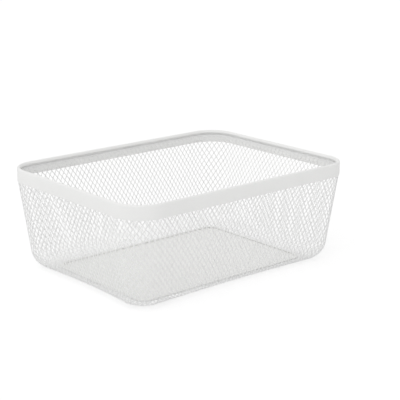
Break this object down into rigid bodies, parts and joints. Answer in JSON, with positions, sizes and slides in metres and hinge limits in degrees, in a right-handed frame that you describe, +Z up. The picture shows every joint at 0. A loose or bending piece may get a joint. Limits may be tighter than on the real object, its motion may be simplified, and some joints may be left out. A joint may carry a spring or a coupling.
{
  "type": "mesh storage bin",
  "caption": "Open rectangular steel mesh bin with tapered diamond-mesh walls, a smooth rolled rim band and a flat base plate.",
  "frame": {"origin": "middle of the standing face, under the base", "axes": "+X along the long side, +Y along the short side, +Z up through the open top"},
  "size_m": [0.4064, 0.3048, 0.1524],
  "materials": {
    "mesh_coat": "satin white powder coat",
    "band_coat": "satin white powder coat",
    "wire_steel": "drawn steel wire",
    "plate_coat": "satin white powder coat"
  },
  "bodies": {
    "root": {"mesh_wall": "mesh_coat", "rim_band": "band_coat", "rim_wire": "wire_steel", "base_plate": "plate_coat"}
  },
  "joints": []
}
